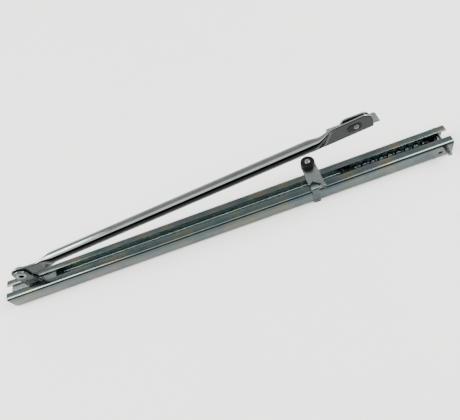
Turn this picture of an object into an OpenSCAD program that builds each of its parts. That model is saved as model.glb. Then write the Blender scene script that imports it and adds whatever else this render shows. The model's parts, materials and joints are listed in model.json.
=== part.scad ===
// Sliding stay arm for a gate: a slotted channel track, a slider with a pivot fork, a tube arm with
// pressed flat ends, a fixing foot, a hinged catch flap with a rubber roller and a buffer spring.
// X runs along the track, +Z points out of the slot and the origin is the centre of the track's back.

/* [Track] */
// Length of the channel track
track_l = 600; // [560:10:700]
// Width across the two side walls
track_w = 30; // [30:0.5:32]
// Height from the back face to the lips
track_h = 24; // [24:0.5:26]
// Sheet thickness of the channel
sheet_t = 2; // [1.8:0.1:2]
// Width of the slot between the lips
slot_w = 10; // [10:0.5:11]
// Diameter of the fixing holes in the web
web_hole_d = 5.5; // [4:0.5:6]
// Distance between the two fixing holes in the web
web_hole_gap = 360; // [300:10:360]

/* [Slider] */
// Length of the sliding carriage
slider_l = 64; // [60:2:70]
// Height of the arm pivot above the lips
pivot_rise = 26; // [25:1:32]
// Distance from the left end of the track to the arm pivot
pivot_x = 40; // [40:1:60]
// Width of each fork cheek
cheek_w = 18.5; // [17:0.5:20]

/* [Arm] */
// Distance between the two pivots of the arm
arm_l = 446; // [420:2:470]
// Outside diameter of the arm tube
tube_d = 15; // [14:0.5:15]
// Wall thickness of the arm tube
tube_t = 1.5; // [1:0.1:1.5]
// Height of the pressed flat ends
flat_w = 24; // [22:0.5:24]
// Angle between the arm and the track
arm_angle = 6.2; // [5:0.1:12]

/* [Foot] */
// Length of the foot's fixing leg
foot_l = 59; // [56:1:64]
// Depth of the foot from the ear's front face
foot_d = 15.2; // [14:0.2:18]
// Distance between the two fixing holes
foot_gap = 36; // [34:1:40]

/* [Catch] */
// Distance from the left end of the track to the middle of the catch flap
catch_x = 428.5; // [420:0.5:440]
// Width of the catch flap
flap_w = 19.1; // [18:0.1:20]
// Distance from the track's middle line to the roller axis
roller_y = 24.5; // [24.5:0.5:27]
// Diameter of the rubber roller
roller_d = 18; // [16:0.5:18]
// Height of the rubber roller
roller_h = 6; // [5:0.5:8]

/* [Buffer] */
// Length of the buffer spring at rest
spring_l = 118.6; // [100:0.2:125]
// Outside diameter of the buffer spring
spring_d = 17.5; // [16:0.5:17.5]
// Diameter of the spring wire
wire_d = 2.2; // [1.8:0.1:2.4]
// Number of turns in the spring
turns = 12; // [9:1:13]
// Diameter of the cross pin that holds the spring
pin_d = 5; // [4:0.5:6]

/* [Hidden] */

$fn = 48;
eps = 0.01;
// Sliding gap between the slider and the channel
gap = 0.3;
// Radial clearance of a pin that turns in its hole
turn_gap = 0.06;
inner_w = track_w - 2 * sheet_t;
inner_top = track_h - sheet_t;
bend_r = 3;
left_end = -track_l / 2;
right_end = track_l / 2;

// Slider: a folded steel carriage on two moulded shoes, centred under the pivot
pivot_at = left_end + pivot_x;
pivot_z = track_h + pivot_rise;
carriage_w = 21;
carriage_top = track_h - 3;
carriage_wall_z = 8;
shoe_l = 17;
shoe_inset = 1;
slider_x0 = pivot_at - 2 - slider_l / 2;
fork_out = 4.2;
fork_t = 2;
fork_in = fork_out - fork_t;
rivet_r = 4;
rivet_bore_r = 2.7;
rivet_head_r = 6.5;
rivet_head_h = 1.4;

// Arm, drawn along +X from its left pivot
flat_t = 2 * tube_t;
arm_end_r = flat_w / 2;
left_flat = 27;
left_blend = 52;
left_top = 7.5;
left_low = 10.5;
right_flat = arm_l - 33;
right_blend = arm_l - 60;
arm_end = arm_l + 19.5;
// The tube's middle line starts this far above and behind the left pivot, and meets the right one
tube_up = 2.5;
tube_back = 1.5;
bush_l = 15;
bush_shift = 1.8;
bush_d = 8;
bush_flange = 1;
bush_flange_t = 0.6;

// Foot: its ear stands behind the arm's flat and its leg lies below the pivot
foot_x = pivot_at + arm_l * cos(arm_angle);
foot_z = pivot_z + arm_l * sin(arm_angle);
foot_t = 2;
ear_y = flat_t / 2 + bush_flange_t + 0.2;
ear_w = 35;
ear_top = 13;
ear_r = 9;
leg_drop = 11.2;
foot_hole_r = 3.25;
foot_hole_y = ear_y + 8.4;
foot_rivet_r = 2.5;

// Catch: the flap turns about a pin in the strap's rolled eye, above the front lip
flap_x = left_end + catch_x;
flap_t = 2;
flap_z = track_h + 0.35;
eye_r = 3.2;
eye_bore_r = 1.5;
hinge_y = -track_w / 2 - sheet_t + eye_r;
hinge_z = flap_z + eye_r - 0.05;
strap_w = 9;
strap_x = flap_x - flap_w / 2 + 1.2;
leg_x = flap_x + flap_w / 2 - 4;
leg_y = -9.9;
flap_left = flap_x - flap_w / 2;
flap_right = flap_x + flap_w / 2;
washer_t = 0.5;
roller_z = flap_z + flap_t + washer_t + 0.1;
sleeve_r = 3;
sleeve_top = roller_z + roller_h + 0.1;
roller_rivet_r = 2;
roller_head_r = 3.5;

// Buffer: seat, spring and follower in line behind the cross pin
pin_x = right_end - 9.7;
pin_z = 17;
pin_front = 12;
spring_z = 12;
seat_t = 1.2;
seat_x = pin_x - pin_d / 2 - 0.1 - seat_t;
spring_x = seat_x - spring_l;
follower_t = 3;
follower_stem = 14;

steel = [0.66, 0.70, 0.71];
bright = [0.80, 0.82, 0.83];
dark = [0.22, 0.23, 0.24];
black = [0.10, 0.10, 0.11];

// A cylinder of length l along +X from the origin
module along_x(r, l) {
    rotate([0, 90, 0]) cylinder(r = r, h = l);
}

// A cylinder between two Y values, with its axis through the origin
module along_y(r, y0, y1) {
    translate([0, y1, 0]) rotate([90, 0, 0]) cylinder(r = r, h = y1 - y0);
}

// A round-ended slot of overall length l and height d, along X, between two Y values
module slot_y(l, d, y0, y1) {
    for (side = [-1, 1]) translate([side * (l - d) / 2, 0, 0]) along_y(d / 2, y0, y1);
    translate([-(l - d) / 2, y0, -d / 2]) cube([l - d, y1 - y0, d]);
}

// A box with rounded corners in plan
module soft_box(x0, y0, x1, y1, h, r) {
    linear_extrude(h) {
        translate([x0 + r, y0]) square([x1 - x0 - 2 * r, y1 - y0]);
        translate([x0, y0 + r]) square([x1 - x0, y1 - y0 - 2 * r]);
        for (x = [x0 + r, x1 - r], y = [y0 + r, y1 - r]) translate([x, y]) circle(r);
    }
}

// Moves what is drawn on the arm's own axis to its place in the assembly
module at_arm() {
    translate([pivot_at, 0, pivot_z]) rotate([0, -arm_angle, 0]) children();
}

// Section of the channel in plan Y and height Z, with rounded outer bends
module channel_section() {
    difference() {
        union() {
            for (y = [-1, 1]) translate([y * (track_w / 2 - bend_r), 0]) {
                translate([0, bend_r]) circle(bend_r);
                translate([0, track_h - bend_r]) circle(bend_r);
            }
            translate([-track_w / 2 + bend_r, 0]) square([track_w - 2 * bend_r, track_h]);
            translate([-track_w / 2, bend_r]) square([track_w, track_h - 2 * bend_r]);
        }
        translate([-inner_w / 2, sheet_t]) square([inner_w, inner_top - sheet_t]);
        translate([-slot_w / 2, inner_top - eps]) square([slot_w, sheet_t + 1]);
    }
}

module track_channel() {
    color(steel)
    difference() {
        translate([left_end, 0, 0])
            rotate([90, 0, 90]) linear_extrude(track_l) channel_section();
        for (side = [-1, 1]) translate([-30 + side * web_hole_gap / 2, 0, -1])
            cylinder(d = web_hole_d, h = sheet_t + 2);
        translate([pin_x, 0, pin_z]) along_y(pin_d / 2, -track_w, track_w);
        translate([pin_x - 6, 0, 10.2]) slot_y(6, 4, -track_w, 0);
    }
}

module end_pin() {
    color(bright)
    translate([pin_x, 0, pin_z]) {
        along_y(pin_d / 2, -track_w / 2 - pin_front, track_w / 2 + 1);
        along_y(pin_d / 2 + 1.5, track_w / 2, track_w / 2 + 1.8);
    }
}

module spring_seat() {
    color(bright)
    translate([seat_x, 0, spring_z]) difference() {
        along_x(spring_d / 2, seat_t);
        translate([-1, 0, 0]) along_x(3, seat_t + 2);
    }
}

// Spring: one closed turn at each end and an even pitch between
spring_steps = 14;
spring_sides = 6;
coil_r = (spring_d - wire_d) / 2;
closed_run = wire_d * 1.05;
open_pitch = (spring_l - wire_d - 2 * closed_run) / (turns - 2);
function coil_x(t) =
    t < 1 ? t * closed_run
    : t > turns - 1 ? closed_run + (turns - 2) * open_pitch + (t - turns + 1) * closed_run
    : closed_run + (t - 1) * open_pitch;
function coil_ring(t) = [
    for (k = [0:spring_sides - 1])
        let (a = 360 * k / spring_sides, r = coil_r + wire_d / 2 * cos(a), turn = 360 * t)
        [coil_x(t) + wire_d / 2 * (1 + sin(a)), r * cos(turn), r * sin(turn)]
];

module buffer_spring() {
    rings = turns * spring_steps;
    points = [for (i = [0:rings]) each coil_ring(i / spring_steps)];
    walls = [
        for (i = [0:rings - 1], k = [0:spring_sides - 1])
            let (n = (k + 1) % spring_sides, a = i * spring_sides, b = a + spring_sides)
            [a + k, a + n, b + n, b + k]
    ];
    first_cap = [for (k = [spring_sides - 1:-1:0]) k];
    last_cap = [for (k = [0:spring_sides - 1]) rings * spring_sides + k];
    color(dark) translate([spring_x, 0, spring_z])
        polyhedron(points, concat([first_cap], walls, [last_cap]));
}

module spring_follower() {
    color(black)
    translate([spring_x, 0, spring_z]) {
        translate([-follower_t, 0, 0]) along_x(spring_d / 2 + 0.5, follower_t);
        along_x(coil_r - wire_d / 2 - 0.5, follower_stem);
    }
}

module slider_carriage() {
    color(steel)
    difference() {
        union() {
            translate([slider_x0, -carriage_w / 2, carriage_top - 2]) cube([slider_l, carriage_w, 2]);
            for (side = [0, 1]) mirror([0, side, 0])
                translate([slider_x0, carriage_w / 2 - 2, carriage_wall_z])
                    cube([slider_l, 2, carriage_top - carriage_wall_z - 1]);
        }
        for (side = [-1, 1]) translate([pivot_at + 6 * side, 0, carriage_top - 3])
            cylinder(r = 1.5, h = 4);
    }
}

// A moulded shoe that carries one end of the carriage, grooved below for screw heads
module shoe(x0) {
    side_w = (inner_w / 2 - gap) - carriage_w / 2;
    color(black)
    difference() {
        union() {
            translate([x0, -inner_w / 2 + gap, sheet_t + gap])
                cube([shoe_l, inner_w - 2 * gap, carriage_wall_z - sheet_t - gap]);
            translate([x0, -carriage_w / 2 + 2, carriage_wall_z - eps])
                cube([shoe_l, carriage_w - 4, carriage_top - 2 - carriage_wall_z + eps]);
            for (side = [0, 1]) mirror([0, side, 0]) translate([x0, carriage_w / 2, sheet_t + gap])
                cube([shoe_l, side_w, inner_top - sheet_t - 2 * gap]);
        }
        translate([x0 - 1, -5.5, 0]) cube([shoe_l + 2, 11, sheet_t + 4]);
    }
}

module slider_shoe_rear() {
    shoe(slider_x0 + shoe_inset);
}

module slider_shoe_nose() {
    shoe(slider_x0 + slider_l - shoe_inset - shoe_l);
}

// Fork: a folded strip whose two round-topped cheeks stand through the slot
module pivot_fork() {
    color(steel)
    translate([pivot_at, 0, 0]) difference() {
        union() {
            for (y = [-fork_out, fork_in]) {
                translate([0, 0, pivot_z]) along_y(cheek_w / 2, y, y + fork_t);
                translate([-cheek_w / 2, y, carriage_top]) cube([cheek_w, fork_t, pivot_z - carriage_top]);
            }
            translate([-cheek_w / 2, -fork_out, carriage_top]) cube([cheek_w, 2 * fork_out, 2]);
        }
        translate([0, 0, pivot_z]) along_y(rivet_r, -track_w, track_w);
        for (side = [-1, 1]) translate([6 * side, 0, carriage_top - 1]) cylinder(r = 1.5, h = 4);
    }
}

module fork_rivets() {
    color(bright)
    for (side = [-1, 1]) translate([pivot_at + 6 * side, 0, carriage_top]) {
        translate([0, 0, -3]) cylinder(r = 1.5, h = 5);
        translate([0, 0, 2]) cylinder(r = 2, h = 1);
        translate([0, 0, -3]) cylinder(r = 2.2, h = 1);
    }
}

// Hollow rivet with a flared rim on the outside of each cheek
module pivot_rivet() {
    color(bright)
    translate([pivot_at, 0, pivot_z]) difference() {
        union() {
            along_y(rivet_r, -fork_out, fork_out);
            for (side = [0, 1]) mirror([0, side, 0])
                translate([0, fork_out, 0]) rotate([-90, 0, 0])
                    rotate_extrude() polygon([
                        [0, 0], [rivet_head_r - 0.4, 0], [rivet_head_r, 0.5],
                        [rivet_head_r - 0.6, rivet_head_h], [0, rivet_head_h]
                    ]);
        }
        along_y(rivet_bore_r, -track_w, track_w);
    }
}

module pivot_washers() {
    washer = fork_in - flat_t / 2 - 0.1;
    color(black)
    translate([pivot_at, 0, pivot_z]) for (side = [0, 1]) mirror([0, side, 0]) difference() {
        along_y(8, fork_in - washer, fork_in);
        along_y(rivet_r + 0.02, 0, fork_out);
    }
}

// The round middle of the arm between two distances from its left pivot, radius r
module arm_round(x0, x1, r) {
    run = right_blend - left_blend;
    translate([right_blend, 0, 0]) rotate([0, atan(tube_up / run), -atan(tube_back / run)])
        translate([x0 - right_blend, 0, 0]) along_x(r, x1 - x0);
}

// A slice just inside the pressed flat at x, between two heights
module flat_slice(x, low, high) {
    inset = 0.06;
    translate([x, inset - flat_t / 2, low + inset]) cube([1, flat_t - 2 * inset, high - low - 2 * inset]);
}

module arm_tube() {
    top_r = 11.9;
    low_r = 2;
    color(bright)
    at_arm() difference() {
        union() {
            difference() {
                arm_round(left_blend, right_blend, tube_d / 2);
                arm_round(left_blend + 4, right_blend - 4, tube_d / 2 - tube_t);
            }
            hull() {
                arm_round(left_blend + 1, left_blend + 2, tube_d / 2 - 0.1, $fn = 32);
                flat_slice(left_flat - 2, -left_low, left_top);
            }
            hull() {
                arm_round(right_blend - 2, right_blend - 1, tube_d / 2 - 0.1, $fn = 32);
                flat_slice(right_flat + 0.5, -flat_w / 2, flat_w / 2);
            }
            along_y(arm_end_r, -flat_t / 2, flat_t / 2);
            translate([0, flat_t / 2, 0]) rotate([90, 0, 0]) linear_extrude(flat_t)
                polygon([
                    [0, 0.5 - flat_w / 2], [left_flat, -left_low], [left_flat, left_top], [0, flat_w / 2 - 0.5]
                ]);
            translate([right_flat, -flat_t / 2, -flat_w / 2])
                cube([arm_end - right_flat - top_r, flat_t, flat_w]);
            translate([arm_end - top_r - eps, -flat_t / 2, -flat_w / 2 + low_r])
                cube([top_r + eps, flat_t, flat_w - top_r - low_r]);
            translate([arm_end - top_r - eps, -flat_t / 2, -flat_w / 2])
                cube([top_r - low_r + eps, flat_t, low_r + eps]);
            translate([arm_end - top_r, 0, flat_w / 2 - top_r]) along_y(top_r, -flat_t / 2, flat_t / 2);
            translate([arm_end - low_r, 0, -flat_w / 2 + low_r]) along_y(low_r, -flat_t / 2, flat_t / 2);
        }
        along_y(rivet_r + turn_gap, -tube_d, tube_d);
        translate([arm_l - bush_shift, 0, 0]) slot_y(bush_l, bush_d, -tube_d, tube_d);
    }
}

// Moulded bush that fills the slotted hole in the arm's right flat
module foot_bush() {
    edge = flat_t / 2;
    color(black)
    at_arm() difference() {
        translate([arm_l - bush_shift, 0, 0]) {
            slot_y(bush_l, bush_d, -edge, edge);
            for (y = [-edge - bush_flange_t, edge])
                slot_y(bush_l + 2 * bush_flange, bush_d + 2 * bush_flange, y, y + bush_flange_t);
        }
        translate([arm_l, 0, 0]) along_y(foot_rivet_r + turn_gap, -tube_d, tube_d);
    }
}

module foot_bracket() {
    color(steel)
    translate([foot_x, 0, foot_z]) difference() {
        union() {
            translate([-ear_w / 2, ear_y, -leg_drop]) cube([ear_w, foot_t, leg_drop + ear_top - ear_r]);
            translate([-ear_w / 2 + ear_r, ear_y, 0]) cube([ear_w - 2 * ear_r, foot_t, ear_top]);
            for (side = [-1, 1]) translate([side * (ear_w / 2 - ear_r), 0, ear_top - ear_r])
                along_y(ear_r, ear_y, ear_y + foot_t);
            translate([0, 0, -leg_drop])
                soft_box(-foot_l / 2, ear_y, foot_l / 2, ear_y + foot_d, foot_t, 2);
        }
        along_y(foot_rivet_r, -track_w, track_w);
        for (side = [-1, 1]) translate([side * foot_gap / 2, foot_hole_y, -leg_drop - 1])
            cylinder(r = foot_hole_r, h = foot_t + 2);
    }
}

module foot_rivet() {
    front = -flat_t / 2 - bush_flange_t - 0.1;
    back = ear_y + foot_t + 1;
    color(bright)
    translate([foot_x, 0, foot_z]) {
        along_y(foot_rivet_r, front, back + 1.5);
        translate([0, front, 0]) rotate([90, 0, 0]) rotate_extrude() polygon([
            [0, 0], [3.2, 0], [2.9, 0.9], [1.8, 1.5], [0, 1.7]
        ]);
        along_y(4, back, back + 1.5);
    }
}

module foot_washer() {
    color(bright)
    translate([foot_x, 0, foot_z]) difference() {
        along_y(6, ear_y + foot_t, ear_y + foot_t + 1);
        along_y(foot_rivet_r, 0, track_w);
    }
}

// Strap: a strip on the front wall, rolled into an eye above the front lip
module catch_strap() {
    color(steel)
    difference() {
        union() {
            translate([strap_x, -track_w / 2 - sheet_t, 0]) cube([strap_w, sheet_t, hinge_z]);
            translate([strap_x, hinge_y, hinge_z]) along_x(eye_r, strap_w);
        }
        translate([strap_x - 1, hinge_y, hinge_z]) along_x(eye_bore_r, strap_w + 2);
    }
}

module catch_hinge_pin() {
    collar_x = strap_x + strap_w;
    color(bright)
    translate([0, hinge_y, hinge_z]) {
        translate([strap_x - 0.8, 0, 0]) along_x(eye_bore_r, flap_right - strap_x + 1.6);
        translate([strap_x - 0.8, 0, 0]) along_x(eye_bore_r + 0.7, 0.8);
        translate([collar_x, 0, 0]) along_x(eye_bore_r + 0.5, leg_x - collar_x - 0.3);
    }
}

// Flap: lies across both lips, cut away around the strap's eye, with a short tongue in the slot
module catch_flap() {
    notch = [flap_left + 5.8, -1.7];
    tongue_y = -slot_w / 2 + 0.4;
    color(steel)
    difference() {
        union() {
            translate([0, 0, flap_z]) linear_extrude(flap_t) {
                polygon([
                    [flap_left, roller_y], [flap_left, notch[1] - 5], notch,
                    [leg_x, leg_y], [leg_x, hinge_y],
                    [flap_right, hinge_y], [flap_right, roller_y]
                ]);
                translate([flap_x, roller_y]) circle(flap_w / 2);
            }
            translate([leg_x, hinge_y, hinge_z]) along_x(eye_r, flap_right - leg_x);
            translate([flap_left + 1, tongue_y, inner_top + 0.2])
                cube([3.2, 1.6, flap_z - inner_top]);
        }
        translate([leg_x - 1, hinge_y, hinge_z]) along_x(eye_bore_r + turn_gap, flap_w);
        translate([flap_x, roller_y, flap_z - 1]) cylinder(r = roller_rivet_r, h = flap_t + 2);
    }
}

module roller_washer() {
    color(bright)
    translate([flap_x, roller_y, flap_z + flap_t]) difference() {
        cylinder(r = 5, h = washer_t);
        translate([0, 0, -1]) cylinder(r = roller_rivet_r, h = washer_t + 2);
    }
}

module roller_sleeve() {
    base = flap_z + flap_t + washer_t;
    color(bright)
    translate([flap_x, roller_y, base]) difference() {
        cylinder(r = sleeve_r, h = sleeve_top - base);
        translate([0, 0, -1]) cylinder(r = roller_rivet_r, h = roller_h + 3);
    }
}

module roller_rivet() {
    color(bright)
    translate([flap_x, roller_y, 0]) {
        translate([0, 0, flap_z]) cylinder(r = roller_rivet_r, h = sleeve_top - flap_z);
        translate([0, 0, flap_z - 1.2]) cylinder(r = roller_head_r, h = 1.2);
        translate([0, 0, sleeve_top]) rotate_extrude() polygon([
            [0, 0], [roller_head_r, 0], [roller_head_r - 0.3, 0.7], [roller_head_r - 1.5, 1.3], [0, 1.5]
        ]);
    }
}

module catch_roller() {
    soft = 0.8;
    color(black)
    translate([flap_x, roller_y, roller_z]) rotate_extrude() polygon([
        [sleeve_r + turn_gap, 0], [roller_d / 2 - soft, 0], [roller_d / 2, soft],
        [roller_d / 2, roller_h - soft], [roller_d / 2 - soft, roller_h], [sleeve_r + turn_gap, roller_h]
    ]);
}

track_channel();
end_pin();
spring_seat();
buffer_spring();
spring_follower();
slider_carriage();
slider_shoe_rear();
slider_shoe_nose();
pivot_fork();
fork_rivets();
pivot_rivet();
pivot_washers();
arm_tube();
foot_bush();
foot_bracket();
foot_rivet();
foot_washer();
catch_strap();
catch_hinge_pin();
catch_flap();
roller_washer();
roller_sleeve();
roller_rivet();
catch_roller();
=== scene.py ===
import json
import math

import bmesh
import bpy
from mathutils import Matrix, Vector

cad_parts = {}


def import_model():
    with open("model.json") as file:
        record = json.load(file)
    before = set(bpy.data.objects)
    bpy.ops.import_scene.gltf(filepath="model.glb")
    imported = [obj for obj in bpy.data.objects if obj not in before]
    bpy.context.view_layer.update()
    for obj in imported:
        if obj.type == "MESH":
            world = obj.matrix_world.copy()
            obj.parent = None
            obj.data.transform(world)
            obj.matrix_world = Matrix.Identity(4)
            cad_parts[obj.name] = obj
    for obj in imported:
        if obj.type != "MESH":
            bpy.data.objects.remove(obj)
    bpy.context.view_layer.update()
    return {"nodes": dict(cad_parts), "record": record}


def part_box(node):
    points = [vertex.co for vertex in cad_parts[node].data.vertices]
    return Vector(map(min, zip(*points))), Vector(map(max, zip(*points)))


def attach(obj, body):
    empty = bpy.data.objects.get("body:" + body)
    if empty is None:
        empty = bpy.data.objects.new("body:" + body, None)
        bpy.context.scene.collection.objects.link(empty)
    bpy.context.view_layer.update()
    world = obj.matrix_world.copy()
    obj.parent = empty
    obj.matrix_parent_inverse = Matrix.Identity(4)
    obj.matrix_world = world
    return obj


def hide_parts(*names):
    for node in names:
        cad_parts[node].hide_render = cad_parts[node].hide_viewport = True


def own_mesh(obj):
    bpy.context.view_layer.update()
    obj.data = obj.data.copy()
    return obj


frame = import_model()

MM = 0.001

# Camera: the photograph's place and angle, in the model's own frame
camera_data = bpy.data.cameras.new("camera")
camera_data.lens = 35.1
camera_data.sensor_width = 36.0
camera_data.clip_start = 0.01
camera = bpy.data.objects.new("camera", camera_data)
camera.location = (0.0603, -0.3182, 0.4956)
camera.rotation_euler = [math.radians(degrees) for degrees in (31.48, 14.45, -14.23)]
bpy.context.scene.collection.objects.link(camera)
bpy.context.scene.camera = camera

# Sizes in mm, repeated from the CAD source
# Track: channel, sheet, slot, the web's two screw holes and the height of the cross pin
TRACK_L, TRACK_W, TRACK_H, SHEET = 600, 30, 24, 2
SLOT_W = 10
WEB_HOLE_X, WEB_HOLE_GAP, WEB_HOLE_R = -30, 360, 2.75
PIN_Z = 17
# Buffer spring
SPRING_L, SPRING_Z, SPRING_D, WIRE_D, TURNS = 118.6, 12, 17.5, 2.2, 12
# Slider: width of the fork's cheeks, height of the carriage's top and offset of its two rivets
CHEEK_W, CHEEK_BASE = 18.5, 21
RIVET_X = 6
# Arm: pressed flats and tube, and how far the tube starts above and behind the left pivot
FLAT_T, FLAT_W, TUBE_D = 3, 24, 15
UP, BACK = 2.5, 1.5
# How far from the left pivot, and back from the right one, each flat ends and the tube begins
LEFT_FLAT, LEFT_TUBE, RIGHT_FLAT, RIGHT_TUBE = 27, 52, 33, 60
# Left flat: half its height at the pivot, and its top and bottom edges where it ends
LEFT_HALF, LEFT_TOP, LEFT_BOTTOM = 11.5, 7.5, 10.5
# Right flat: its length past the pivot, and the radii of its two corners
RIGHT_END, ROUND_TOP, ROUND_BOTTOM = 19.5, 11.9, 2
# Foot: the bush's offset towards the tube, and the screw holes to each side of the pivot
BUSH_SHIFT = 1.8
FOOT_HOLE_X, FOOT_HOLE_R = 18, 3.25
# Catch: flap, hinge eye, hinge axis, strap, the flap's hinge leg, roller
FLAP_Z, FLAP_T, FLAP_W = 24.35, 2, 19.1
EYE_R, EYE_BORE = 3.2, 1.5
HINGE_Y, HINGE_Z = -13.8, 27.5
STRAP_W, STRAP_INSET = 9, 1.2
LEG_W, LEG_Y = 4, -9.9
ROLLER_Y, ROLLER_R, ROLLER_H = 24.5, 9.0, 6.0


def span(node, axis):
    """Where a CAD node starts and ends along an axis, in mm."""
    low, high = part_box(node)
    index = "xyz".index(axis)
    return low[index] / MM, high[index] / MM


joints = {joint["name"]: joint for joint in frame["record"]["behaviour"]["joints"]}
pivot = Vector(joints["arm_pivot"]["pos_m"]) / MM
foot = Vector(joints["foot_pivot"]["pos_m"]) / MM
arm_l = (foot - pivot).length
arm_angle = math.atan2(foot.z - pivot.z, foot.x - pivot.x)
flap_x = joints["roller_spin"]["pos_m"][0] / MM
strap_x = flap_x - FLAP_W / 2 + STRAP_INSET
leg_x = flap_x + FLAP_W / 2 - LEG_W
pin_x = sum(span("end_pin", "x")) / 2
seat_x = span("spring_seat", "x")[0]


# ---------------------------------------------------------------- mesh tools

def link(name, bm, smooth=35):
    """An object from a bmesh drawn in mm, shaded smooth below the given angle."""
    bmesh.ops.recalc_face_normals(bm, faces=bm.faces)
    bmesh.ops.scale(bm, vec=(MM, MM, MM), verts=bm.verts)
    mesh = bpy.data.meshes.new(name)
    bm.to_mesh(mesh)
    bm.free()
    obj = bpy.data.objects.new(name, mesh)
    bpy.context.scene.collection.objects.link(obj)
    soften(obj, smooth)
    return obj


def soften(obj, angle):
    """Smooth shading, with sharp edges where faces meet at more than the angle in degrees."""
    obj.data.polygons.foreach_set("use_smooth", [True] * len(obj.data.polygons))
    obj.data.set_sharp_from_angle(angle=math.radians(angle))


def rounded(points, radii, steps=6):
    """A closed outline whose corners are filleted by the radius given for each."""
    out = []
    count = len(points)
    for i, here in enumerate(points):
        radius = radii[i] if isinstance(radii, (list, tuple)) else radii
        here = Vector(here)
        before = Vector(points[i - 1]) - here
        after = Vector(points[(i + 1) % count]) - here
        half = before.angle(after) / 2
        if radius <= 0 or half > math.radians(89):
            out.append(tuple(here))
            continue
        reach = min(radius / math.tan(half), before.length * 0.499, after.length * 0.499)
        radius = reach * math.tan(half)
        start = here + before.normalized() * reach
        stop = here + after.normalized() * reach
        inward = (before.normalized() + after.normalized()).normalized()
        middle = here + inward * (radius / math.sin(half))
        first = start - middle
        turn = first.angle_signed(stop - middle)
        for k in range(steps + 1):
            angle = -turn * k / steps
            spun = Vector((first.x * math.cos(angle) - first.y * math.sin(angle),
                           first.x * math.sin(angle) + first.y * math.cos(angle)))
            out.append(tuple(middle + spun))
    return out


def oblong(middle, half, radius, steps, height=0):
    """The outline of a slot with round ends, half its length to each side of middle."""
    left, right, low, high = middle - half, middle + half, height - radius, height + radius
    return rounded([(left, low), (right, low), (right, high), (left, high)], radius - 0.01, steps)


def place(axis, u, v, w):
    """A point from outline coordinates u, v and distance w along the axis."""
    return {"x": (w, u, v), "y": (u, w, v), "z": (u, v, w)}[axis]


def prism(name, outline, axis, low, high, bevel=0.0, smooth=35):
    """An outline carried along an axis, with its two rims broken by a small bevel."""
    bm = bmesh.new()
    rings = [[bm.verts.new(place(axis, u, v, w)) for u, v in outline] for w in (low, high)]
    caps = [bm.faces.new(rings[0]), bm.faces.new(list(reversed(rings[1])))]
    count = len(outline)
    for i in range(count):
        j = (i + 1) % count
        bm.faces.new((rings[0][i], rings[1][i], rings[1][j], rings[0][j]))
    if bevel:
        edges = [edge for cap in caps for edge in cap.edges]
        bmesh.ops.bevel(bm, geom=edges, offset=bevel, segments=2, profile=0.5, affect="EDGES")
    return link(name, bm, smooth)


def turned(axis, centre, radius, angle, along):
    """A point at a radius and angle about an axis through centre."""
    x, y, z = place(axis, radius * math.cos(angle), radius * math.sin(angle), along)
    return (centre[0] + x, centre[1] + y, centre[2] + z)


def lathe(name, profile, centre, axis, steps=64, smooth=35):
    """A profile of (radius, distance) pairs turned about an axis through centre.

    The profile closes on itself, or on the axis if both its ends lie there.
    """
    bm = bmesh.new()
    rings = []
    for radius, along in profile:
        if radius < 1e-6:
            rings.append([bm.verts.new(turned(axis, centre, 0, 0, along))])
        else:
            angles = [2 * math.pi * k / steps for k in range(steps)]
            rings.append([bm.verts.new(turned(axis, centre, radius, angle, along))
                          for angle in angles])
    closed = profile[0][0] > 1e-6 or profile[-1][0] > 1e-6
    following = rings[1:] + rings[:1] if closed else rings[1:]
    for a, b in zip(rings, following):
        for k in range(steps):
            n = (k + 1) % steps
            face = [a[k % len(a)], b[k % len(b)], b[n % len(b)], a[n % len(a)]]
            face = list(dict.fromkeys(face))
            if len(face) > 2:
                bm.faces.new(face)
    return link(name, bm, smooth)


def bake(obj):
    """Applies an object's modifiers to its mesh."""
    graph = bpy.context.evaluated_depsgraph_get()
    mesh = bpy.data.meshes.new_from_object(obj.evaluated_get(graph))
    obj.modifiers.clear()
    obj.data = mesh


def combine(obj, tools, how="DIFFERENCE", smooth=35):
    """Cuts tools out of obj, joins them to it or keeps what they share, and removes the tools."""
    for tool in tools:
        step = obj.modifiers.new("combine", "BOOLEAN")
        step.operation = how
        step.solver = "EXACT"
        step.object = tool
        bake(obj)
        bpy.data.objects.remove(tool)
    soften(obj, smooth)


def add_bevel(obj, width, angle):
    """A bevel modifier for an object's sharp edges, width in mm."""
    step = obj.modifiers.new("edge_break", "BEVEL")
    step.width = width * MM
    step.segments = 2
    step.limit_method = "ANGLE"
    step.angle_limit = math.radians(angle)


def edge_break(obj):
    """Breaks an object's sharp edges for good."""
    add_bevel(obj, 0.25, 35)
    bake(obj)
    soften(obj, 35)


def rod_tool(centre, radius, axis, low, high, steps=48):
    """A round rod between two distances along an axis through centre, used to cut."""
    profile = [(0, low), (radius, low), (radius, high), (0, high)]
    return lathe("tool", profile, centre, axis, steps)


def finish_piece(obj, body, material, node):
    """Gives a piece its material and its place in the frame."""
    obj.data.materials.clear()
    obj.data.materials.append(material)
    for polygon in obj.data.polygons:
        polygon.material_index = 0
    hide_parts(node)
    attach(obj, body)


# ---------------------------------------------------------------- materials

def shader(name):
    """A new material with its nodes, its links and its principled shader."""
    material = bpy.data.materials.new(name)
    material.use_nodes = True
    nodes = material.node_tree.nodes
    return material, nodes, material.node_tree.links, nodes["Principled BSDF"]


def calculate(nodes, links, operation, *values):
    """The result of a math node whose inputs are sockets or plain numbers."""
    node = nodes.new("ShaderNodeMath")
    node.operation = operation
    for socket, value in zip(node.inputs, values):
        if isinstance(value, (int, float)):
            socket.default_value = value
        else:
            links.new(value, socket)
    return node.outputs["Value"]


def components(nodes, links, output):
    """The X, Y and Z of one output of the texture coordinates."""
    source = nodes.new("ShaderNodeTexCoord")
    parts = nodes.new("ShaderNodeSeparateXYZ")
    links.new(source.outputs[output], parts.inputs[0])
    return parts.outputs


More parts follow.
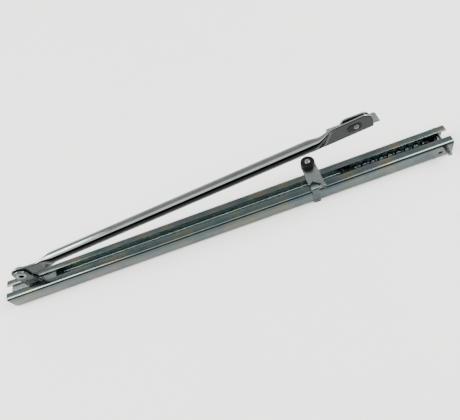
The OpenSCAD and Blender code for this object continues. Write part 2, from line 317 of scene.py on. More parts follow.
def coordinates(nodes, links, scale=(1, 1, 1), tilt=0.0):
    """Object coordinates, turned about Y by tilt and stretched by scale."""
    source = nodes.new("ShaderNodeTexCoord")
    mapping = nodes.new("ShaderNodeMapping")
    mapping.vector_type = "POINT"
    mapping.inputs["Rotation"].default_value = (0, tilt, 0)
    links.new(source.outputs["Object"], mapping.inputs["Vector"])
    stretch = nodes.new("ShaderNodeVectorMath")
    stretch.operation = "MULTIPLY"
    stretch.inputs[1].default_value = scale
    links.new(mapping.outputs["Vector"], stretch.inputs[0])
    return stretch.outputs["Vector"]


def noise_at(nodes, links, vector, scale, detail, roughness):
    """The value of a noise texture at a vector."""
    node = nodes.new("ShaderNodeTexNoise")
    node.inputs["Scale"].default_value = scale
    node.inputs["Detail"].default_value = detail
    node.inputs["Roughness"].default_value = roughness
    links.new(vector, node.inputs["Vector"])
    return node.outputs["Fac"]


def ramp(nodes, links, value, stops):
    """A colour by value, from (position, colour) stops."""
    node = nodes.new("ShaderNodeValToRGB")
    while len(node.color_ramp.elements) < len(stops):
        node.color_ramp.elements.new(0.5)
    for element, (position, colour) in zip(node.color_ramp.elements, stops):
        element.position = position
        element.color = (*colour, 1)
    links.new(value, node.inputs["Fac"])
    return node.outputs["Color"]


def spread(nodes, links, value, low, high, start=0.3, stop=0.7):
    """A value mapped from start..stop onto low..high."""
    node = nodes.new("ShaderNodeMapRange")
    node.inputs["From Min"].default_value = start
    node.inputs["From Max"].default_value = stop
    node.inputs["To Min"].default_value = low
    node.inputs["To Max"].default_value = high
    links.new(value, node.inputs["Value"])
    return node.outputs["Result"]


def mixed(nodes, links, blend, amount, first, second):
    """Two colours, each a socket or a plain colour, blended by a socket or a number."""
    node = nodes.new("ShaderNodeMix")
    node.data_type = "RGBA"
    node.blend_type = blend
    if isinstance(amount, (int, float)):
        node.inputs["Factor"].default_value = amount
    else:
        links.new(amount, node.inputs["Factor"])
    for socket, value in ((6, first), (7, second)):
        if isinstance(value, tuple):
            node.inputs[socket].default_value = (*value, 1)
        else:
            links.new(value, node.inputs[socket])
    return node.outputs[2]


def bumped(nodes, links, bsdf, heights):
    """Chains bump nodes from (height, strength, distance in mm) entries."""
    normal = None
    for height, strength, distance in heights:
        node = nodes.new("ShaderNodeBump")
        node.inputs["Strength"].default_value = strength
        node.inputs["Distance"].default_value = distance * MM
        links.new(height, node.inputs["Height"])
        if normal:
            links.new(normal, node.inputs["Normal"])
        normal = node.outputs["Normal"]
    links.new(normal, bsdf.inputs["Normal"])


def painted_reflection_by_facing(nodes, links, stops):
    """Painted reflection: grey levels that darken the faces that look to the front, from (lean,
    level) stops.

    A face's lean is -1 where it looks down, 0 where it is upright and 1 where it looks up.
    """
    normal = components(nodes, links, "Normal")
    lean = spread(nodes, links, normal["Z"], 0.0, 1.0, -1.0, 1.0)
    levels = ramp(nodes, links, lean, [((up + 1) / 2, (level,) * 3) for up, level in stops])
    front = spread(nodes, links, normal["Y"], 1.0, 0.0, -0.2, -0.02)
    return mixed(nodes, links, "MIX", front, (1.0, 1.0, 1.0), levels)


def inside_channel(nodes, links):
    """One inside the channel, short of its open ends, where light is painted in, and zero on its
    outer faces.
    """
    point = components(nodes, links, "Object")
    ends, wall = 22, SHEET / 2
    reaches = (("X", 0, TRACK_L / 2 - ends), ("Y", 0, TRACK_W / 2 - wall),
               ("Z", TRACK_H / 2, TRACK_H / 2 - wall))
    share = 1.0
    for axis, middle, reach in reaches:
        near = calculate(nodes, links, "COMPARE", point[axis], middle * MM, reach * MM)
        share = calculate(nodes, links, "MULTIPLY", share, near)
    return share


def zinc(name, pale, dull, tint, rough, tilt=0.0, streak=0.06, stretch=(10, 260, 260),
         painted_reflection=None, painted_light_inside=None):
    """Zinc plate on rolled or drawn steel: streaks along X, passivation bloom, fine spangle.

    pale, dull and tint are the colours of the bloom, and tilt turns the streaks along the arm.
    The last two arguments give the stops of a dark reflection painted on the faces that look to
    the front, and the paler colour painted inside the channel as light that gets in through the
    slot.
    """
    material, nodes, links, bsdf = shader(name)
    along = coordinates(nodes, links, stretch, tilt)
    even = coordinates(nodes, links, tilt=tilt)
    lines = noise_at(nodes, links, along, 6.0, 6.0, 0.6)
    bloom = noise_at(nodes, links, even, 38.0, 3.0, 0.5)
    grain = noise_at(nodes, links, even, 1400.0, 2.0, 0.5)
    cells = nodes.new("ShaderNodeTexVoronoi")
    cells.inputs["Scale"].default_value = 520.0
    links.new(even, cells.inputs["Vector"])
    base = ramp(nodes, links, bloom, [(0.25, dull), (0.5, pale), (0.75, tint)])
    lined = mixed(nodes, links, "MULTIPLY", 0.55, base,
                  ramp(nodes, links, lines, [(0.3, (0.72, 0.73, 0.74)), (0.62, (1, 1, 1))]))
    colour = mixed(nodes, links, "OVERLAY", 0.06, lined, cells.outputs["Color"])
    # Painted light: the inside of the channel is painted paler, as light that gets in through the
    # slot.
    if painted_light_inside:
        colour = mixed(nodes, links, "MIX", inside_channel(nodes, links), colour, painted_light_inside)
    # Painted reflection: faces that look to the front are darkened by their facing, as if
    # mirroring a dark room.
    if painted_reflection:
        colour = mixed(nodes, links, "MULTIPLY", 1.0, colour, painted_reflection_by_facing(nodes, links, painted_reflection))
    links.new(colour, bsdf.inputs["Base Color"])
    bsdf.inputs["Metallic"].default_value = 1.0
    links.new(spread(nodes, links, lines, rough - 0.07, rough + 0.1), bsdf.inputs["Roughness"])
    bumped(nodes, links, bsdf, [(lines, streak, 0.12), (grain, 0.05, 0.05)])
    return material


def within_bore(nodes, links, centre, radius):
    """One closer than radius (mm) to the line along Y through centre, and zero elsewhere."""
    point = components(nodes, links, "Object")
    squares = []
    for axis, middle in (("X", centre.x), ("Z", centre.z)):
        offset = calculate(nodes, links, "SUBTRACT", point[axis], middle * MM)
        squares.append(calculate(nodes, links, "MULTIPLY", offset, offset))
    total = calculate(nodes, links, "ADD", *squares)
    return calculate(nodes, links, "LESS_THAN", total, (radius * MM) ** 2)


def polished(name, colour, rough, bore=None):
    """Plate on small turned parts, dulled in clouds over a fine turned surface.

    bore gives the middle and radius of a bore painted near black as shade.
    """
    material, nodes, links, bsdf = shader(name)
    even = coordinates(nodes, links)
    cloud = noise_at(nodes, links, even, 260.0, 4.0, 0.6)
    fine = noise_at(nodes, links, even, 2600.0, 2.0, 0.5)
    dim = tuple(0.72 * c for c in colour)
    shade = ramp(nodes, links, cloud, [(0.3, dim), (0.6, colour)])
    # Painted shade: the bore of the hollow rivet is painted near black.
    if bore:
        inside = within_bore(nodes, links, *bore)
        shade = mixed(nodes, links, "MIX", inside, shade, (0.004, 0.004, 0.004))
    links.new(shade, bsdf.inputs["Base Color"])
    bsdf.inputs["Metallic"].default_value = 1.0
    links.new(spread(nodes, links, cloud, rough - 0.05, rough + 0.12), bsdf.inputs["Roughness"])
    bumped(nodes, links, bsdf, [(fine, 0.06, 0.04)])
    return material


def moulded(name, colour, worn, rough, grain_scale, depth):
    """Moulded nylon or rubber: a fine grain of the given depth in mm, paler where it is worn."""
    material, nodes, links, bsdf = shader(name)
    even = coordinates(nodes, links)
    cloud = noise_at(nodes, links, even, 120.0, 4.0, 0.6)
    grain = noise_at(nodes, links, even, grain_scale, 3.0, 0.6)
    links.new(ramp(nodes, links, cloud, [(0.35, colour), (0.75, worn)]), bsdf.inputs["Base Color"])
    links.new(spread(nodes, links, grain, rough - 0.08, rough + 0.1), bsdf.inputs["Roughness"])
    bsdf.inputs["Specular IOR Level"].default_value = 0.08
    bumped(nodes, links, bsdf, [(grain, 0.35, depth), (cloud, 0.1, 0.2)])
    return material


# Painted reflection: the stops darken the channel's front faces and the bends of its front
# corners.
sheet_steel = zinc("zinc_channel", (0.100, 0.130, 0.131), (0.065, 0.098, 0.108),
                   (0.160, 0.155, 0.100), 0.20,
                   painted_reflection=[(0.0, 0.8), (0.12, 0.2), (0.55, 0.06), (0.66, 0.3), (0.74, 1.0)],
                   # Painted light: the paler colour painted inside the channel.
                   painted_light_inside=(0.46, 0.57, 0.565))
# Painted reflection: the stops darken the front faces of the small plated parts.
small_steel = zinc("zinc_small", (0.22, 0.26, 0.26), (0.15, 0.185, 0.19),
                   (0.27, 0.29, 0.27), 0.26, streak=0.05, stretch=(60, 200, 60),
                   painted_reflection=[(-0.6, 1.0), (-0.1, 0.28), (0.3, 0.2), (0.6, 0.35), (0.78, 1.0)])
# Painted reflection: the stops paint a dark band along the tube's front and darken its pressed
# flats.
tube_steel = zinc("bright_tube", (0.185, 0.202, 0.206), (0.14, 0.16, 0.165),
                  (0.22, 0.232, 0.228), 0.10, tilt=arm_angle, streak=0.04, stretch=(6, 420, 420),
                  painted_reflection=[(-0.8, 1.0), (-0.35, 0.6), (-0.08, 0.18), (0.15, 0.07), (0.52, 0.03),
                        (0.63, 0.5), (0.71, 1.0)])
bright = polished("bright_zinc", (0.19, 0.205, 0.205), 0.27)
pin_zinc = polished("pin_zinc", (0.10, 0.11, 0.11), 0.22)
# Painted shade: the eyelet's bore is painted near black.
eyelet_zinc = polished("eyelet_zinc", (0.17, 0.185, 0.185), 0.27, bore=(pivot, 3.2))
wire_steel = polished("spring_steel", (0.018, 0.019, 0.021), 0.30)
nylon = moulded("black_nylon", (0.004, 0.004, 0.005), (0.012, 0.012, 0.013), 0.45, 900, 0.05)
rubber = moulded("black_rubber", (0.003, 0.003, 0.0035), (0.010, 0.009, 0.009), 0.42, 600, 0.08)


# ---------------------------------------------------------------- track

def track():
    """Rolled sheet with two lips over a slot, and with its pin, oblong and screw holes."""
    half, lip = TRACK_W / 2, SLOT_W / 2
    inner, top = half - SHEET, TRACK_H - SHEET
    outline = [(-lip, top), (-lip, TRACK_H), (-half, TRACK_H), (-half, 0),
               (half, 0), (half, TRACK_H), (lip, TRACK_H), (lip, top),
               (inner, top), (inner, SHEET), (-inner, SHEET), (-inner, top)]
    lip_edge, bend, inner_bend = 0.4, 3, 1.1
    radii = [lip_edge] * 2 + [bend] * 4 + [lip_edge] * 2 + [inner_bend] * 4
    piece = prism("track_sheet", rounded(outline, radii, 8), "x", -TRACK_L / 2, TRACK_L / 2, 0.25)
    slot = oblong(pin_x - 6, 3, 2, 10, 10.2)
    tools = [rod_tool((pin_x, 0, PIN_Z), 2.56, "y", -20, 20), prism("tool", slot, "y", -20, -8)]
    for side in (-1, 1):
        middle = (WEB_HOLE_X + side * WEB_HOLE_GAP / 2, 0, 0)
        tools.append(rod_tool(middle, WEB_HOLE_R, "z", -2, 5))
    combine(piece, tools)
    finish_piece(piece, "track", sheet_steel, "track_channel")


def end_pin():
    """A pin with a groove near its front end and a low head at the back."""
    front, back = span("end_pin", "y")
    profile = [(0, front), (1.7, front), (2.2, front + 0.3), (2.5, front + 0.9),
               (2.5, front + 2.6), (2.1, front + 2.9), (2.1, front + 3.7), (2.5, front + 4.0),
               (2.5, back - 1.8), (3.8, back - 1.8), (4.0, back - 1.5), (3.9, back - 0.7),
               (3.2, back - 0.1), (1.5, back), (0, back)]
    piece = lathe("cross_pin", profile, (pin_x, 0, PIN_Z), "y", 48)
    finish_piece(piece, "track", pin_zinc, "end_pin")


def spring_seat():
    """A plain disc between the spring and the cross pin."""
    r = SPRING_D / 2
    profile = [(3, 0.15), (3.15, 0), (r - 0.3, 0), (r, 0.3),
               (r, 0.9), (r - 0.3, 1.2), (3.15, 1.2), (3, 1.05)]
    piece = lathe("spring_seat_disc", profile, (seat_x, 0, SPRING_Z), "x", 64)
    finish_piece(piece, "track", bright, "spring_seat")


def coil_at(turn):
    """Distance along the spring's axis after so many turns, with closed ends."""
    closed = WIRE_D * 1.05
    pitch = (SPRING_L - WIRE_D - 2 * closed) / (TURNS - 2)
    if turn < 1:
        return turn * closed
    if turn > TURNS - 1:
        return closed + (TURNS - 2) * pitch + (turn - TURNS + 1) * closed
    return closed + (turn - 1) * pitch


def spring():
    """A round wire wound about the spring's axis, with its two ends drawn in a little."""
    bm = bmesh.new()
    per_turn, sides = 36, 14
    radius, wire = (SPRING_D - WIRE_D) / 2, WIRE_D / 2 * 0.99
    start = seat_x - SPRING_L
    rings = []
    total = TURNS * per_turn
    for i in range(total + 1):
        turn = i / per_turn
        angle = 2 * math.pi * turn
        shrink = wire * (0.6 if i in (0, total) else 1.0)
        ring = []
        for k in range(sides):
            around = 2 * math.pi * k / sides
            r = radius + shrink * math.cos(around)
            x = start + WIRE_D / 2 + coil_at(turn) + shrink * math.sin(around)
            ring.append(bm.verts.new((x, r * math.cos(angle), SPRING_Z + r * math.sin(angle))))
        rings.append(ring)
    for a, b in zip(rings, rings[1:]):
        for k in range(sides):
            n = (k + 1) % sides
            bm.faces.new((a[k], a[n], b[n], b[k]))
    bm.faces.new(list(reversed(rings[0])))
    bm.faces.new(rings[-1])
    piece = link("buffer_coil", bm, 50)
    finish_piece(piece, "track", wire_steel, "buffer_spring")
    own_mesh(piece)


def follower():
    """A plug with a grooved head outside the spring and a stem inside it."""
    r = SPRING_D / 2 + 0.5
    stem = (SPRING_D - WIRE_D) / 2 - WIRE_D / 2 - 0.5
    profile = [(0, -3), (2.2, -3), (2.6, -2.4), (r - 3.2, -2.4), (r - 2.8, -3), (r - 0.6, -3),
               (r, -2.4), (r, -0.4), (r - 0.4, 0), (stem + 0.2, 0), (stem, 0.3), (stem, 9),
               (stem - 0.3, 9.3), (stem - 0.3, 12), (stem - 1.6, 14), (0, 14)]
    piece = lathe("spring_plug", profile, (seat_x - SPRING_L, 0, SPRING_Z), "x", 64)
    finish_piece(piece, "follower", nylon, "spring_follower")


# ---------------------------------------------------------------- slider

def folded(name, half_width, depth, bend, up, low, high):
    """A U-section of sheet along X: a base at CHEEK_BASE and two legs, up (1) or down (-1)."""
    tip, inside = CHEEK_BASE + up * depth, CHEEK_BASE + up * SHEET
    inner = half_width - SHEET
    outline = [(-half_width, tip), (-half_width, CHEEK_BASE), (half_width, CHEEK_BASE),
               (half_width, tip), (inner, tip), (inner, inside), (-inner, inside), (-inner, tip)]
    edge, inner_bend = 0.25, max(bend - SHEET, 0.4)
    radii = [edge, bend, bend, edge, edge, inner_bend, inner_bend, edge]
    return prism(name, rounded(outline, radii, 6), "x", low, high, 0.2)


def fork():
    """Two round-topped cheeks on a common base, bored for the pivot rivet."""
    x, top, half = pivot.x, pivot.z, CHEEK_W / 2
    piece = folded("fork_cheeks", 4.2, top + half - CHEEK_BASE, 2.4, 1, x - half, x + half)
    round_top = [(x + half * math.cos(math.radians(a)), top + half * math.sin(math.radians(a)))
                 for a in range(0, 181, 6)]
    outline = round_top + [(x - half, CHEEK_BASE - 1), (x + half, CHEEK_BASE - 1)]
    combine(piece, [prism("tool", outline, "y", -6, 6)], "INTERSECT")
    combine(piece, [rod_tool((x, 0, top), 4.05, "y", -8, 8)])
    edge_break(piece)
    finish_piece(piece, "slider", small_steel, "pivot_fork")


def carriage():
    """A folded plate over the two shoes, with two rivet holes in its top."""
    piece = folded("carriage_plate", 10.5, 13, 2.6, -1, *span("slider_carriage", "x"))
    combine(piece, [rod_tool((pivot.x + RIVET_X * side, 0, 20), 1.5, "z", -3, 3)
                    for side in (-1, 1)])
    finish_piece(piece, "slider", small_steel, "slider_carriage")


def fork_rivets():
    """Two small rivets that hold the fork's base on the carriage."""
    profile = [(0, 18), (1.9, 18), (2.2, 18.3), (2.2, 18.9), (1.5, 19), (1.5, 23),
               (2.0, 23), (2.0, 23.3), (1.5, 23.8), (0.7, 24), (0, 24)]
    first = lathe("cheek_rivets", profile, (pivot.x - RIVET_X, 0, 0), "z", 32)
    second = lathe("tool", profile, (pivot.x + RIVET_X, 0, 0), "z", 32)
    combine(first, [second], "UNION")
    finish_piece(first, "slider", bright, "fork_rivets")


def pivot_rivet():
    """A hollow rivet whose two rims flare out over the cheeks."""
    r, bore, head, out, tall = 4.0, 2.9, 6.5, 4.2, 1.4
    profile = [(bore, out + tall - 0.9), (bore + 0.12, out + tall - 0.4),
               (bore + 0.35, out + tall - 0.12), (bore + 0.6, out + tall),
               (head - 1.4, out + tall), (head - 0.7, out + tall - 0.2),
               (head - 0.15, out + 0.7), (head, out + 0.35), (head - 0.2, out), (r, out - 0.02)]
    mirrored = [(radius, -along) for radius, along in reversed(profile)]
    piece = lathe("pivot_eyelet", profile + mirrored, pivot, "y", 72)
    finish_piece(piece, "slider", eyelet_zinc, "pivot_rivet")


def pivot_washers():
    """One thin ring on each side of the arm's left flat."""
    rings = []
    for side in (-1, 1):
        profile = [(4.05, side * 1.6), (7.8, side * 1.6), (8, side * 1.75), (8, side * 2.05),
                   (7.8, side * 2.2), (4.05, side * 2.2)]
        rings.append(lathe("pivot_rings", profile, pivot, "y", 64))
    combine(rings[0], [rings[1]], "UNION")
    finish_piece(rings[0], "slider", nylon, "pivot_washers")


def shoe(node):
    """The CAD shoe keeps its shape and gets moulded edges and material."""
    obj = frame["nodes"][node]
    obj.data.materials.clear()
    obj.data.materials.append(nylon)
    add_bevel(obj, 0.4, 40)


# ---------------------------------------------------------------- arm

def between(x, start, stop, low, high):
    """A value that eases from low to high as x goes from start to stop."""
    t = max(0.0, min(1.0, (x - start) / (stop - start)))
    return low + (high - low) * t * t * (3 - 2 * t)


def tube_offset(x, at_left):
    """How far the tube's middle line stands off the line of the pivots at distance x."""
    from_right = arm_l - RIGHT_TUBE
    return at_left * max(0.0, from_right - x) / (from_right - LEFT_TUBE)


def arm_height(x, end):
    """Top and bottom of the arm at distance x from its left pivot."""
    half, r = FLAT_W / 2, TUBE_D / 2
    rise = tube_offset(x, UP)
    if x > arm_l / 2:
        top = between(x, arm_l - 46, arm_l - 27, rise + r, half)
        bottom = between(x, arm_l - 57, arm_l - 36, rise - r, -half)
        if x > end - ROUND_TOP:
            reach = x - end + ROUND_TOP
            top = (half - ROUND_TOP) + math.sqrt(max(ROUND_TOP ** 2 - reach ** 2, 0.04))
        if x > end - ROUND_BOTTOM:
            reach = x - end + ROUND_BOTTOM
            bottom = (ROUND_BOTTOM - half) - math.sqrt(max(ROUND_BOTTOM ** 2 - reach ** 2, 0))
        return top, bottom
    if x < LEFT_FLAT:
        disc = math.sqrt(max(half ** 2 - x ** 2, 0.04)) if x < half else 0
        if x <= 0:
            return disc, -disc
        share = x / LEFT_FLAT
        return (max(disc, LEFT_HALF - (LEFT_HALF - LEFT_TOP) * share),
                -max(disc, LEFT_HALF - (LEFT_HALF - LEFT_BOTTOM) * share))
    return (between(x, LEFT_FLAT, LEFT_TUBE, LEFT_TOP, rise + r),
            between(x, LEFT_FLAT, LEFT_TUBE + 2, -LEFT_BOTTOM, rise - r))


def arm_depth(x, high):
    """Front and back of the arm at distance x, for a point high (0 to 1) up its section."""
    flat, r = FLAT_T / 2, TUBE_D / 2
    shift = tube_offset(x, BACK)
    if x > arm_l / 2:
        shoulder = arm_l - 38 + 15 * high
        return (between(x, shoulder - 20, shoulder, shift - r, -flat),
                between(x, arm_l - RIGHT_TUBE + 2, arm_l - RIGHT_FLAT, shift + r, flat))
    front = between(x, LEFT_FLAT - 1 + 6 * high, LEFT_TUBE - 6 + 8 * high, -flat, shift - r)
    return front, between(x, LEFT_FLAT + 2, LEFT_TUBE - 2, flat, shift + r)


def stations(end):
    """Where the arm's sections stand: close together over its round ends and its shoulders."""
    left_round = [-FLAT_W / 2 * math.cos(math.radians(a)) for a in range(4, 91, 6)]
    left_flat = [2.5 + 2.5 * i for i in range(9)]
    left_shoulder = [25 + i for i in range(34)]
    tube = [60 + 12 * i for i in range(27)]
    right_shoulder = [arm_l - 64 + i for i in range(40)]
    right_flat = [arm_l - 20 + 4 * i for i in range(7)]
    right_round = [end - 11.5 + i for i in range(10)]
    last_corner = [end - ROUND_BOTTOM + ROUND_BOTTOM * math.sin(math.radians(a))
                   for a in range(10, 91, 16)]
    return sorted(left_round + left_flat + left_shoulder + tube + right_shoulder + right_flat
                  + right_round + last_corner)


def onto_arm(piece, start):
    """Moves a piece drawn along X from the origin to a pivot, at the arm's angle."""
    piece.data.transform(Matrix.Translation(start * MM) @ Matrix.Rotation(-arm_angle, 4, "Y"))


def arm():
    """Sections from flat to tube to flat: rounded bars whose corners shrink as they flatten."""
    end = arm_l + RIGHT_END
    bm = bmesh.new()
    steps = 64
    rings = []
    for x in stations(end):
        top, bottom = arm_height(x, end)
        half = (top - bottom) / 2
        ring = []
        for k in range(steps):
            angle = 2 * math.pi * k / steps
            up = math.sin(angle)
            front, back = arm_depth(x, (1 + up) / 2)
            thick = (back - front) / 2
            corner = min(thick, half)
            lean = max(0.0, (abs(up) - 1) * half / corner + 1)
            out = math.copysign(thick * math.sqrt(max(0.0, 1 - lean * lean)), math.cos(angle))
            middle = ((front + back) / 2, (top + bottom) / 2)
            ring.append(bm.verts.new((x, middle[0] + out, middle[1] + half * up)))
        rings.append(ring)
    for a, b in zip(rings, rings[1:]):
        for k in range(steps):
            n = (k + 1) % steps
            bm.faces.new((a[k], a[n], b[n], b[k]))
    bm.faces.new(list(reversed(rings[0])))
    bm.faces.new(rings[-1])
    piece = link("arm_bar", bm, 38)
    slot = oblong(arm_l - BUSH_SHIFT, 7.5, 4, 10)
    combine(piece, [rod_tool((0, 0, 0), 4.06, "y", -20, 20), prism("tool", slot, "y", -20, 20)],
            smooth=38)
    onto_arm(piece, pivot)
    finish_piece(piece, "arm", tube_steel, "arm_tube")


def bush():
    """A sleeve through the arm's slot with a rim on each side, bored for the foot rivet."""
    edge, rim = FLAT_T / 2, 0.6
    inner = oblong(-BUSH_SHIFT, 7.45, 3.95, 12)
    outer = oblong(-BUSH_SHIFT, 8.4, 4.9, 12)
    piece = prism("foot_sleeve", inner, "y", -edge - 0.2, edge + 0.2)
    combine(piece, [prism("tool", outer, "y", -edge - rim, -edge, 0.2),
                    prism("tool", outer, "y", edge, edge + rim, 0.2)], "UNION")
    combine(piece, [rod_tool((0, 0, 0), 2.56, "y", -5, 5)])
    onto_arm(piece, foot)
    finish_piece(piece, "arm", nylon, "foot_bush")


# ---------------------------------------------------------------- foot

def foot_bracket():
    """An ear behind the arm, folded at its foot into a leg with two screw holes."""
    (left, front, base), (right, back, top) = (Vector(corner) / MM
                                               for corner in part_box("foot_bracket"))
    section = [(front, top), (front, base), (back, base), (back, base + SHEET),
               (front + SHEET, base + SHEET), (front + SHEET, top)]
    piece = prism("foot_angle", rounded(section, [0.2, 2.6, 0.3, 0.3, 0.7, 0.2], 6), "x",
                  left, right)
    half_ear, shoulder, spare = 17.5, base + 2.6, 1
    ear = [(left - spare, base - spare), (right + spare, base - spare), (right + spare, shoulder),
           (foot.x + half_ear, shoulder), (foot.x + half_ear, top), (foot.x - half_ear, top),
           (foot.x - half_ear, shoulder), (left - spare, shoulder)]
    ear = rounded(ear, [0, 0, 0, 0.9, 9, 9, 0.9, 0], 10)
    combine(piece, [prism("tool", ear, "y", front - 5, back + 5)], "INTERSECT")
    plan = [(left, front - 4), (right, front - 4), (right, back), (left, back)]
    plan = rounded(plan, [0, 0, 3, 3], 8)
    combine(piece, [prism("tool", plan, "z", base - 2, top + 2)], "INTERSECT")
    tools = [rod_tool((foot.x + FOOT_HOLE_X * side, front + 8.4, base), FOOT_HOLE_R, "z", -2, 5)
             for side in (-1, 1)]
    combine(piece, tools + [rod_tool((foot.x, 0, foot.z), 2.5, "y", 0, 8)])
    edge_break(piece)
    finish_piece(piece, "foot", small_steel, "foot_bracket")


def foot_rivet():
    """A small domed head in front and a flat one behind the ear."""
    low, high = span("foot_rivet", "y")
    profile = [(0, low), (1.2, low + 0.12), (2.3, low + 0.6), (3.0, low + 1.2), (3.2, low + 1.7),
               (2.5, low + 1.75), (2.5, high - 1.5), (3.9, high - 1.5), (4.0, high - 1.3),
               (3.9, high - 0.6), (3.2, high - 0.15), (1.8, high), (0, high)]
    piece = lathe("foot_pin_head", profile, (foot.x, 0, foot.z), "y", 48)
    finish_piece(piece, "foot", pin_zinc, "foot_rivet")


def ring_washer(name, node, axis, centre, inner, outer, body):
    """A flat ring with broken edges, as thick as its CAD node."""
    low, high = span(node, axis)
    edge = 0.15
    profile = [(inner, low + edge), (inner + edge, low), (outer - edge, low), (outer, low + edge),
               (outer, high - edge), (outer - edge, high), (inner + edge, high),
               (inner, high - edge)]
    piece = lathe(name, profile, centre, axis, 56)
    finish_piece(piece, body, bright, node)


# ---------------------------------------------------------------- catch

def arc(radius, start, stop, steps):
    """Points about the hinge axis, in Y and Z, from one angle to another in degrees."""
    out = []
    for k in range(steps + 1):
        a = math.radians(start + (stop - start) * k / steps)
        out.append((HINGE_Y + radius * math.cos(a), HINGE_Z + radius * math.sin(a)))
    return out


def strap():
    """A strip up the front wall, rolled into the hinge's eye, with two pressed dimples."""
    wall, inside, bottom = HINGE_Y - EYE_R, -TRACK_W / 2, 0.3
    outer = [(wall, bottom)] + arc(EYE_R, 180, -112, 36)
    inner = arc(EYE_BORE, -112, 150, 32) + [(inside, HINGE_Z - 1.0), (inside, bottom)]
    piece = prism("catch_strip", outer + inner, "x", strap_x, strap_x + STRAP_W, 0.25, smooth=30)
    dimples = [rod_tool((strap_x + STRAP_W / 2, 0, z), 2.2, "y", wall - 1, wall + 0.25, 32)
               for z in (8.0, 16.5)]
    combine(piece, dimples, smooth=30)
    finish_piece(piece, "track", small_steel, "catch_strap")


def hinge_pin():
    """A pin with a head at the left and a collar between the strap's eye and the flap's."""
    low, high = span("catch_hinge_pin", "x")
    collar, r = strap_x + STRAP_W, EYE_BORE - 0.02
    profile = [(0, low), (1.4, low), (2.0, low + 0.2), (2.2, low + 0.5), (2.2, low + 0.8),
               (r, low + 0.85), (r, collar), (1.8, collar + 0.05), (2.0, collar + 0.4),
               (2.0, leg_x - 0.7), (1.8, leg_x - 0.35), (r, leg_x - 0.3), (r, high - 0.3),
               (1.2, high), (0, high)]
    piece = lathe("catch_axle", profile, (0, HINGE_Y, HINGE_Z), "x", 36)
    finish_piece(piece, "track", bright, "catch_hinge_pin")


def flap():
    """A plate with a round end, a V-shaped notch, a curled hinge leg and a short bent tongue."""
    half = FLAP_W / 2
    left, right, top = flap_x - half, flap_x + half, FLAP_Z + FLAP_T
    notch, straight = (left + 5.8, -1.7), ROLLER_Y - 5
    round_end = [(flap_x + half * math.cos(math.radians(a)),
                  ROLLER_Y + half * math.sin(math.radians(a))) for a in range(0, 181, 6)]
    front = [(left, straight), (left, notch[1] - 5), notch, (leg_x, LEG_Y), (leg_x, HINGE_Y),
             (right, HINGE_Y), (right, straight)]
    front = rounded(front, [0, 0.7, 0.6, 1.2, 0, 0, 0], 5)
    piece = prism("catch_leaf", round_end + front, "z", FLAP_Z, top, 0.25)
    bore, root = EYE_BORE + 0.08, HINGE_Y + 2.6
    curl = ([(root, FLAP_Z)] + arc(EYE_R - 0.05, -90, -335, 36) + arc(bore, -335, -90, 36)
            + [(root, top - 0.4)])
    combine(piece, [prism("tool", curl, "x", leg_x + 0.02, right - 0.02)], "UNION")
    low, high = 22.2, FLAP_Z + 0.5
    tongue = [(left + 1, low), (left + 4.2, low), (left + 4.2, high), (left + 1, high)]
    tongue = rounded(tongue, [0.5, 0.5, 0, 0], 4)
    combine(piece, [prism("tool", tongue, "y", -4.6, -3.0)], "UNION")
    combine(piece, [rod_tool((flap_x, ROLLER_Y, 25), 2.0, "z", -3, 3),
                    rod_tool((leg_x, HINGE_Y, HINGE_Z), bore, "x", -2, 10)])
    finish_piece(piece, "catch", small_steel, "catch_flap")


def roller():
    """A rubber tyre with a shallow groove round its side and another in its top."""
    base = span("catch_roller", "z")[0]
    r, h, bore = ROLLER_R, ROLLER_H, 3.06
    profile = [(bore, 0.2), (bore + 0.3, 0), (r - 0.9, 0), (r - 0.35, 0.15), (r - 0.05, 0.5),
               (r, 1.0), (r - 0.12, 2.7), (r - 0.12, 3.3), (r, h - 1.0), (r - 0.05, h - 0.5),
               (r - 0.35, h - 0.15), (r - 0.9, h), (5.2, h), (4.9, h - 0.2), (4.7, h - 0.5),
               (4.4, h - 0.5), (4.2, h - 0.15), (3.6, h - 0.1), (bore, h - 0.3)]
    piece = lathe("roller_tyre", profile, (flap_x, ROLLER_Y, base), "z", 72)
    finish_piece(piece, "roller", rubber, "catch_roller")


def roller_rivet():
    """A stud through the flap with a domed head over the roller."""
    low, high = span("roller_rivet", "z")
    profile = [(0, low), (2.2, low), (3.1, low + 0.3), (3.5, low + 0.9), (3.5, low + 1.2),
               (2.0, low + 1.22), (2.0, high - 1.5), (3.4, high - 1.5), (3.5, high - 1.3),
               (3.3, high - 0.8), (2.6, high - 0.35), (1.5, high - 0.08), (0, high)]
    piece = lathe("roller_stud", profile, (flap_x, ROLLER_Y, 0), "z", 48)
    finish_piece(piece, "catch", bright, "roller_rivet")


track()
end_pin()
spring_seat()
spring()
follower()
fork()
carriage()
fork_rivets()
pivot_rivet()
pivot_washers()
shoe("slider_shoe_rear")
shoe("slider_shoe_nose")
arm()
bush()
foot_bracket()
foot_rivet()
ring_washer("foot_ring", "foot_washer", "y", (foot.x, 0, foot.z), 2.52, 6, "foot")
strap()
hinge_pin()
flap()
roller()
roller_rivet()
ring_washer("roller_ring", "roller_washer", "z", (flap_x, ROLLER_Y, 0), 2.02, 5, "catch")
ring_washer("roller_tube", "roller_sleeve", "z", (flap_x, ROLLER_Y, 0), 2.02, 3, "catch")


# ---------------------------------------------------------------- stage and light

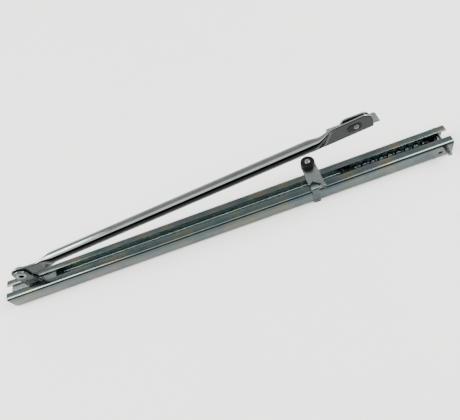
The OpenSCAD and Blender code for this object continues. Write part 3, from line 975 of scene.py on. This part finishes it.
def floor():
    """A plain pale floor, just under the track."""
    bm = bmesh.new()
    reach, level = 30000, -0.3
    corners = ((-reach, -reach), (reach, -reach), (reach, reach), (-reach, reach))
    bm.faces.new([bm.verts.new((x, y, level)) for x, y in corners])
    ground = link("floor", bm)
    material, nodes, links, bsdf = shader("floor")
    even = coordinates(nodes, links)
    cloud = noise_at(nodes, links, even, 6.0, 3.0, 0.5)
    pale = ramp(nodes, links, cloud, [(0.3, (0.90, 0.90, 0.90)), (0.7, (0.92, 0.92, 0.92))])
    links.new(pale, bsdf.inputs["Base Color"])
    bsdf.inputs["Roughness"].default_value = 0.9
    bsdf.inputs["Specular IOR Level"].default_value = 0.1
    ground.data.materials.append(material)


def softbox(name, location, size, power):
    """A square area light that points at the model's origin."""
    data = bpy.data.lights.new(name, "AREA")
    data.shape = "RECTANGLE"
    data.size, data.size_y = size, size
    data.energy = power
    lamp = bpy.data.objects.new(name, data)
    lamp.location = location
    lamp.rotation_euler = (-Vector(location)).to_track_quat("-Z", "Y").to_euler()
    bpy.context.scene.collection.objects.link(lamp)


def world():
    """A studio that is dark low in front, with a bright strip above that, and pale elsewhere."""
    sky = bpy.data.worlds.new("studio")
    bpy.context.scene.world = sky
    sky.use_nodes = True
    nodes, links = sky.node_tree.nodes, sky.node_tree.links
    background = nodes["Background"]
    direction = components(nodes, links, "Generated")
    forward = calculate(nodes, links, "MULTIPLY", direction["Y"], -1.0)
    above_floor = calculate(nodes, links, "MAXIMUM", direction["Z"], 0.0001)
    angle = calculate(nodes, links, "ARCTAN2", above_floor, forward)
    half_turns = calculate(nodes, links, "DIVIDE", angle, math.pi)
    # Brightness by angle, in degrees from the front horizon over the top to the back
    bands = [(0, 0.004), (34, 0.004), (43, 1.3), (72, 1.3), (82, 0.42), (105, 0.42),
             (128, 0.34), (150, 0.6), (180, 0.7)]
    stops = [(degrees / 180, (level, 0.985 * level, 0.94 * level)) for degrees, level in bands]
    links.new(ramp(nodes, links, half_turns, stops), background.inputs["Color"])
    background.inputs["Strength"].default_value = 2.5


floor()
world()
softbox("left_side", (-2.2, 0.1, 1.9), 1.5, 120)
softbox("right_side", (2.2, 0.1, 1.9), 1.5, 120)
